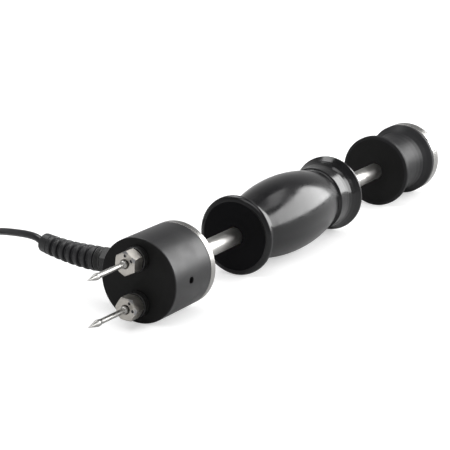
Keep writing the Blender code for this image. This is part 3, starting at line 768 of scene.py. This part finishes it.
def makeHead():
    length, inner = headHigh.x, bodyRadius - head["wall"]
    outline = [
        (0, 0), (0, bodyRadius, head["edge"]), (length, bodyRadius, 0.4), (length, inner, 0.3),
        (head["faceWall"], inner, 0.6), (head["faceWall"], head["hub"], 0.6),
        (length - gap, head["hub"], 0.3), (length - gap, head["bore"], 0.2),
        (head["rodSeat"], head["bore"]), (head["rodSeat"], 0)]
    seat = head["glandSeat"]
    glandTool = [(14, 0), (14, head["glandHole"]), (seat, head["glandHole"]),
                 (seat, head["glandSeatRadius"]), (34, head["glandSeatRadius"]), (34, 0)]
    cuts = [drill(head["bushHole"], -3, head["faceWall"] + 1, axisAt((0, 0, side * head["pinOffset"])))
            for side in (1, -1)]
    cuts.append((spun(glandTool, 64), axisAt((relief["station"], 0, 0), (0, 1, 0), cutterTurn)))
    cuts.append(drill(head["setScrewHole"], 5.4, bodyRadius,
                      axisAt((head["setScrewStation"], 0, 0), (0, -1, 0)), lip=0.25))
    cuts += [drill(head["screwHole"], 30, length, axisAt(spot), sides=24) for spot in screwSpots()]
    shell = makeTurned("headShell", outline, "anodisedSide", "root", "head_body", sides=128, cuts=cuts)
    # painted shade: the flat front face gets the darker copy of the anodised finish
    paintFaces(shell, "shadedAnodisedFace", lambda face: face.normal.x < -0.98 and face.center.x < 0.5 * mm)


def makeAnvil():
    low, high = span("anvil_plate")
    outline = [(low.x, head["bore"], 0.2), (low.x, bodyRadius, 0.3), (high.x, bodyRadius, 0.6),
               (high.x, head["bore"], 0.3)]
    sink = [(low.x - 3, 0), (low.x - 3, head["screwHole"]), (high.x - 1.5, head["screwHole"]),
            (high.x, 3.1), (high.x + 3, 3.1), (high.x + 3, 0)]
    cuts = [(spun(sink, 48), axisAt(spot, twist=cutterTurn)) for spot in screwSpots()]
    makeTurned("anvilDisc", outline, "turnedSteel", "root", "anvil_plate", sides=128, cuts=cuts)
    for k, spot in enumerate(screwSpots(), 1):
        place = axisAt(spot)
        screw = makeSolid(f"anvilScrew{k}", spun(softOutline([
            (31, 0), (31, 1.2, 0.2), (31.3, 1.5), (high.x - 1.7, 1.5), (high.x - 0.5, 2.7, 0.1),
            (high.x - 0.2, 2.8, 0.1), (high.x - 0.2, 0)]), 48), place)
        cutPiece(screw, [drill(1.1, high.x - 1.5, high.x - 0.2, place, lip=0.12, sides=6)])
        dress(screw, "screwSteel", "root", f"anvil_screw_{k}")


def makeSetScrew():
    place = axisAt((head["setScrewStation"], 0, 0), (0, -1, 0))
    screw = makeSolid("setScrew", spun(softOutline([
        (6.4, 0), (6.4, 1.4, 0.2), (7.0, 1.95), (13.5, 1.95, 0.1), (14.0, 1.5, 0.1),
        (14.0, 0)]), 40), place)
    cutPiece(screw, [drill(1.0, 11.5, 14.0, place, lip=0.1, sides=6)])
    dress(screw, "screwSteel", "root", "set_screw")


makeHead()
makeAnvil()
makeSetScrew()
print("head ready")


# rod, end stop and end plate

stop = {"shoulder": 340.2, "tenon": 5.0, "screwBore": 3.3, "boreDepth": 21.7, "sink": 5.8,
        "sinkDepth": 6.3, "notchAngle": math.radians(61.3), "notchWidth": 9.2, "notchDepth": 3.0,
        "shank": 3.0, "knurls": 36, "knurlDepth": 0.3}


def makeRod():
    low, high = span("rod")
    cuts = [drill(stop["screwBore"], high.x - stop["boreDepth"], high.x, axisAt())]
    makeTurned("guideRod", [
        (low.x, 0), (low.x, rodRadius, 0.6), (stop["shoulder"], rodRadius, 0.2),
        (stop["shoulder"], stop["tenon"]), (high.x, stop["tenon"], 0.4), (high.x, 0)],
        "polishedRod", "root", "rod", sides=80, cuts=cuts)


def makeEndStop():
    low, high = span("end_stop")
    front, rear = low.x, high.x
    outline = [
        (front, rodRadius + gap, 0.3), (front, bodyRadius - 2.4), (front + 0.3, bodyRadius - 1.3),
        (front + 0.8, bodyRadius - 0.4), (front + 1.6, bodyRadius), (front + 4.0, bodyRadius, 0.5),
        (front + 4.8, 26.4, 1.2), (front + 5.9, 24.2, 2.4), (front + 7.8, 22.7, 3.0),
        (front + 11.3, 22.0, 6.0), (front + 18.0, 21.9, 8.0), (front + 30.0, 21.9, 8.0),
        (front + 36.0, 22.2, 8.0), (front + 40.3, 23.0, 0.15), (front + 43.8, 24.9, 6.0),
        (front + 47.2, 27.1, 0.4), (front + 48.0, bodyRadius, 0.5), (rear, bodyRadius, 0.5),
        (rear, stop["tenon"] + gap, 0.2), (stop["shoulder"] + gap, stop["tenon"] + gap),
        (stop["shoulder"] + gap, rodRadius + gap)]
    # the end stop wears the dimmed copy of the anodised finish: painted shade
    body = makeTurned("endStop", outline, "shadedStopSide", "root", "end_stop", sides=128)
    # painted shade: the end stop's flat front face gets the same darker copy of the anodised finish
    paintFaces(body, "shadedAnodisedFace",
               lambda face: face.normal.x < -0.98 and face.center.x < (front + 0.5) * mm)


def makeEndPlate():
    low, high = span("end_plate")
    rear = high.x
    bottom = rear - stop["sinkDepth"]
    outline = [(low.x, stop["screwBore"], 0.2), (low.x, bodyRadius, 0.4), (rear, bodyRadius, 0.7),
               (rear, stop["sink"], 0.4), (bottom, stop["sink"]), (bottom, stop["screwBore"])]
    edge = bodyRadius - stop["notchDepth"]
    half = stop["notchWidth"] / 2
    cuts = [(boxShape((low.x - 2, -half, edge), (rear + 2, half, bodyRadius + 4)),
             Matrix.Rotation(stop["notchAngle"] + k * math.pi, 4, "X")) for k in range(2)]
    makeTurned("endPlate", outline, "turnedSteel", "root", "end_plate", sides=128, cuts=cuts, bevel=0.25)


def makeEndScrew():
    rear = span("end_plate")[1].x
    shank, knurl = stop["shank"], (stop["knurlDepth"], stop["knurls"])
    rings = [plainRing(rear - 24.5, 0.02), plainRing(rear - 24.5, shank - 0.5), plainRing(rear - 24, shank),
             plainRing(rear - 6.0, shank), plainRing(rear - 6.0, 4.7), ridgedRing(rear - 5.7, 5.0, *knurl),
             ridgedRing(rear - 1.4, 5.0, *knurl), plainRing(rear - 0.9, 4.9), plainRing(rear - 0.4, 4.5),
             plainRing(rear - gap, 4.2), plainRing(rear - gap, 0.02)]
    screw = makeSolid("endScrew", lofted(rings, 8 * stop["knurls"]))
    cutPiece(screw, [drill(2.8, rear - 3.8, rear - gap, axisAt(), lip=0.15, sides=6)])
    dress(screw, "screwSteel", "root", "end_screw")


makeRod()
makeEndStop()
makeEndPlate()
makeEndScrew()
print("rod and stop ready")


# slide hammer

hammer = {"middle": 185.0, "barrel": (137.0, 225.0), "widest": 27.45, "bend": 169.0,
          "edgeLength": 3.0, "edgeDepth": 4.5, "edgeTurn": math.radians(84), "edgeSteps": 8,
          "socket": 14.2, "lip": 6.0, "bore": rodRadius + 0.5, "barrelSteps": 40}


def barrelRadius(x):
    return hammer["widest"] - (x - hammer["middle"]) ** 2 / (2 * hammer["bend"])


def frontFlange(front):  # rounded outer face, rim and the cove that runs into the grip
    outline = []
    for k in range(hammer["edgeSteps"] + 1):
        turn = hammer["edgeTurn"] * k / hammer["edgeSteps"]
        outline.append((front + hammer["edgeLength"] * (1 - math.cos(turn)),
                        bodyRadius - hammer["edgeDepth"] * (1 - math.sin(turn))))
    cove = [(3.1, bodyRadius, 0.15), (4.3, bodyRadius, 0.3), (5.0, 26.8, 0.6), (7.0, 24.8, 2.0),
            (9.0, 22.6, 3.0), (12.0, 20.7, 4.0), (15.0, 19.8, 4.0), (18.2, 19.9, 4.0)]
    return outline + [(front + point[0], *point[1:]) for point in cove]


def rearFlange(rear):  # groove and bead behind the grip, thick neck and flange
    profile = [(28.2, 21.6, 0.6), (25.2, 21.6, 0.6), (24.4, 22.4, 0.3), (23.9, 23.4, 0.3),
               (22.5, 23.4, 0.3), (22.1, 22.9, 0.2), (15.0, 22.9, 6.0), (12.0, 23.1, 5.0), (9.0, 23.8, 5.0),
               (6.0, 25.1, 5.0), (3.6, 26.4, 4.0), (1.7, bodyRadius, 0.2), (0, bodyRadius, 0.4)]
    return [(rear - point[0], *point[1:]) for point in profile]


def makeGrip():
    low, high = span("hammer_grip")
    front, rear = low.x, high.x
    outline = [(front, hammer["bore"], 0.4)] + frontFlange(front)
    first, last = hammer["barrel"]
    steps = hammer["barrelSteps"]
    for k in range(steps + 1):
        x = first + (last - first) * k / steps
        outline.append((x, barrelRadius(x), 0.2) if k == steps else (x, barrelRadius(x)))
    outline += rearFlange(rear) + [
        (rear, hammer["socket"], 0.3), (front + hammer["lip"], hammer["socket"]),
        (front + hammer["lip"], hammer["bore"])]
    shell = makeTurned("gripShell", outline, "glossPaint", "hammer", "hammer_grip", sides=160)
    # painted shade: the flat end faces get the darker copy of the paint
    paintFaces(shell, "shadedBlackPaint", lambda face: abs(face.normal.x) > 0.98
               and not front + 0.1 < face.center.x / mm < rear - 0.1)


def makeCap():
    low, high = span("hammer_cap")
    outer = high.z
    # the cap wears the darker copy of the paint: painted shade
    makeTurned("gripCap", [
        (low.x, hammer["bore"]), (low.x, outer, 0.2), (high.x, outer, 0.5), (high.x, 11.0, 0.15),
        (high.x - 0.5, 10.8, 0.15), (high.x - 0.5, 9.6, 0.15), (high.x, 9.4, 0.15),
        (high.x, hammer["bore"], 0.4)], "shadedBlackPaint", "hammer", "hammer_cap", sides=112)


makeGrip()
makeCap()
print("hammer ready")


# needle electrodes

needle = {
    "twist": {"upper": math.radians(4.0), "lower": math.radians(34.0)},
    "flats": 14.0, "hole": 3.3, "shaft": 1.7, "blade": 2.2, "collar": 2.5, "point": 9.2,
    "head": 2.9, "headStart": -11.2, "headEnd": -9.6,
    "dimpleReach": 5.2, "dimpleRadius": 1.0, "dimpleDepth": 2.2,
    "bush": 8.0, "bushNeck": 4.0, "lockFlats": 9.0,
}


def makeElectrode(side, height):
    at = (0, 0, height)
    place = axisAt(at)
    bushLow, bushHigh = span(f"{side}_bush")
    collar = bushLow.x
    makeTurned(f"{side}Collar", [
        (collar, needle["hole"], 0.2), (collar, needle["bush"], 0.6), (-gap, needle["bush"], 0.3),
        (-gap, needle["bushNeck"], 0.1), (bushHigh.x, needle["bushNeck"], 0.3),
        (bushHigh.x, needle["hole"])],
        "mattNylon", "root", f"{side}_bush", place=place, sides=80)

    nutLow, nutHigh = span(f"{side}_pin_nut")
    front = nutLow.x
    twisted = axisAt(at, twist=needle["twist"][side])
    dimples, spots = [], []
    for k in range(2):
        turn = twisted @ Matrix.Rotation(k * math.pi / 3, 4, "X")
        spot = turn @ Matrix.Translation((front, 0, needle["dimpleReach"]))
        spots.append(spot.translation)
        radius, depth = needle["dimpleRadius"], needle["dimpleDepth"]
        dimples.append((spun([(-1, 0), (-1, radius), (depth - 0.5, radius), (depth, 0)], 24), spot))
    bore = [(nutHigh.x, needle["hole"]), (front + 3.0, needle["hole"]), (front + 3.0, 2.2),
            (front + 1.5, 2.2), (front + 1.2, 2.7), (front + 0.3, 2.9), (front, 3.2)]
    nut = makeHex(f"{side}Nut", needle["flats"], front, nutHigh.x, bore, "nutSteel", f"{side}_nut",
                  f"{side}_pin_nut", place=twisted, cuts=dimples, bevel=0.22)
    # painted shade: the faces inside the two dimples get the darker screw steel
    paintFaces(nut, "screwSteel", lambda face: abs(face.normal.x + 1) > 0.05 and any(
        0.05 < (face.center / mm - spot).length < needle["dimpleDepth"] + 0.2 for spot in spots))

    tip = span(f"{side}_pin")[0].x
    blade = tip + needle["point"]
    makeTurned(f"{side}Needle", [
        (tip, 0), (tip + 0.25, 0.12), (blade, needle["blade"], 0.6), (blade + 1.2, needle["blade"], 0.4),
        (blade + 3.8, needle["shaft"], 0.8), (front - 2.8, needle["shaft"], 0.15),
        (front - 2.6, 2.1, 0.2), (front - 2.0, needle["collar"], 0.4), (front - 0.4, needle["collar"], 0.15),
        (front - 0.2, needle["shaft"]), (needle["headStart"], needle["shaft"]),
        (needle["headStart"], needle["head"], 0.1), (needle["headEnd"], needle["head"], 0.1),
        (needle["headEnd"], 0)], "needleSteel", f"{side}_needle", f"{side}_pin", place=place, sides=48)
    lockLow, lockHigh = span(f"{side}_lock_nut")
    makeHex(f"{side}LockNut", needle["lockFlats"], lockLow.x, lockHigh.x,
            [(lockHigh.x, needle["hole"]), (lockLow.x, needle["hole"])], "dullBrass", "root",
            f"{side}_lock_nut", place=place, bevel=0.1)


makeElectrode("upper", head["pinOffset"])
makeElectrode("lower", -head["pinOffset"])
print("electrodes ready")


# cable gland and strain relief

gland = {"flats": 16.0, "twist": math.radians(-7.0), "tail": 6.2, "thread": 6.5, "bore": 3.3,
         "bodyHex": 6.0, "hexEnd": 43.0, "collar": 8.0, "rings": 3, "ringPitch": 1.0, "ringDepth": 0.35,
         "lip": 4.4, "lipBore": 5.3, "washer": 8.2, "lockFlats": 14.0}


def makeGland():
    at, out = (relief["station"], 0, 0), (0, 1, 0)
    place = axisAt(at, out, gland["twist"])
    low, high = span("gland_washer")
    makeTurned("glandWasher", [
        (low.y, gland["thread"]), (low.y, gland["washer"], 0.2), (high.y, gland["washer"], 0.2),
        (high.y, gland["thread"])], "reliefRubber", "root", "gland_washer", place=axisAt(at, out), sides=64)
    start = high.y + gap
    end = start + gland["bodyHex"]
    low, high = span("gland_body")
    makeHex("glandBody", gland["flats"], start, end, [(high.y, gland["bore"]), (low.y, gland["bore"])],
            "mattNylon", "root", "gland_body", place=place, bevel=0.25,
            front=[(low.y, gland["tail"]), (start, gland["tail"])],
            behind=[(end, gland["tail"]), (high.y, gland["tail"])])
    low, high = span("gland_nut")
    collar = [(gland["hexEnd"], gland["collar"])]
    for k in range(gland["rings"]):
        ring = gland["hexEnd"] + 1.2 + gland["ringPitch"] * k
        floor = gland["collar"] - gland["ringDepth"]
        collar += [(ring, gland["collar"]), (ring + 0.1, floor), (ring + 0.4, floor),
                   (ring + 0.5, gland["collar"])]
    collar += [(high.y - 0.4, gland["collar"]), (high.y, gland["collar"] - 0.4)]
    step = high.y - gland["lip"]
    bore = [(high.y, gland["lipBore"]), (step, gland["lipBore"]), (step, gland["thread"]),
            (low.y, gland["thread"])]
    makeHex("glandNut", gland["flats"], low.y, gland["hexEnd"], bore, "mattNylon", "root", "gland_nut",
            place=place, bevel=0.25, behind=collar)
    low, high = span("gland_lock_nut")
    makeHex("glandLockNut", gland["lockFlats"], low.y, high.y,
            [(high.y, gland["thread"]), (low.y, gland["thread"])], "dullBrass", "root",
            "gland_lock_nut", place=axisAt(at, out), bevel=0.12)


def makeRelief():
    length = relief["length"]

    def taper(a):
        return relief["thick"] + (relief["thin"] - relief["thick"]) * a / length

    outline = [(-relief["plug"], 0), (-relief["plug"], relief["plugHead"]), (-5.0, relief["plugHead"]),
               (-5.0, relief["plugNeck"]), (0, relief["plugNeck"]), (0, relief["thick"] - 0.3, 0.5)]
    for k in range(relief["grooves"]):
        middle = relief["firstGroove"] + relief["groovePitch"] * k
        half, bottom = relief["floorHalf"], taper(middle) - relief["grooveDepth"]
        outline += [(middle - relief["grooveHalf"], taper(middle), 0.9), (middle - half, bottom, 0.4),
                    (middle + half, bottom, 0.4), (middle + relief["grooveHalf"], taper(middle), 0.9)]
    ring = length - relief["ringStart"]  # shallow ring before the plain end
    outline += [(ring, taper(ring), 0.5), (ring + 0.4, 6.2, 0.2), (ring + 0.8, 6.2, 0.2),
                (ring + 1.2, taper(ring + 1.2), 0.5), (length, relief["thin"], 0.9), (length, 3.6),
                (length, 0)]
    bm = spun(softOutline(outline, 3), 64)
    for vert in bm.verts:
        x, y, z = vert.co
        vert.co = reliefPoint(x, y, z) if x > 0 else reliefPoint(0, y, z) + Vector((0, x, 0))
    obj = makeSolid("reliefSleeve", bm, Matrix.Identity(4))
    dress(obj, "reliefRubber", "root", "strain_relief")


makeGland()
makeRelief()
print("gland ready")


# inner pieces that keep their CAD shape

innerFinishes = {
    "hammer_weight": "plainSteel", "hammer_bush_front": "dullBrass", "hammer_bush_rear": "dullBrass",
    "upper_stud": "dullBrass", "lower_stud": "dullBrass", "upper_lug": "dullBrass",
    "lower_lug": "dullBrass", "upper_wire": "redWire", "lower_wire": "blueWire",
}
for node, finish in innerFinishes.items():
    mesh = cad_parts[node].data
    mesh.materials.clear()
    mesh.materials.append(materials[finish])

bpy.context.view_layer.update()
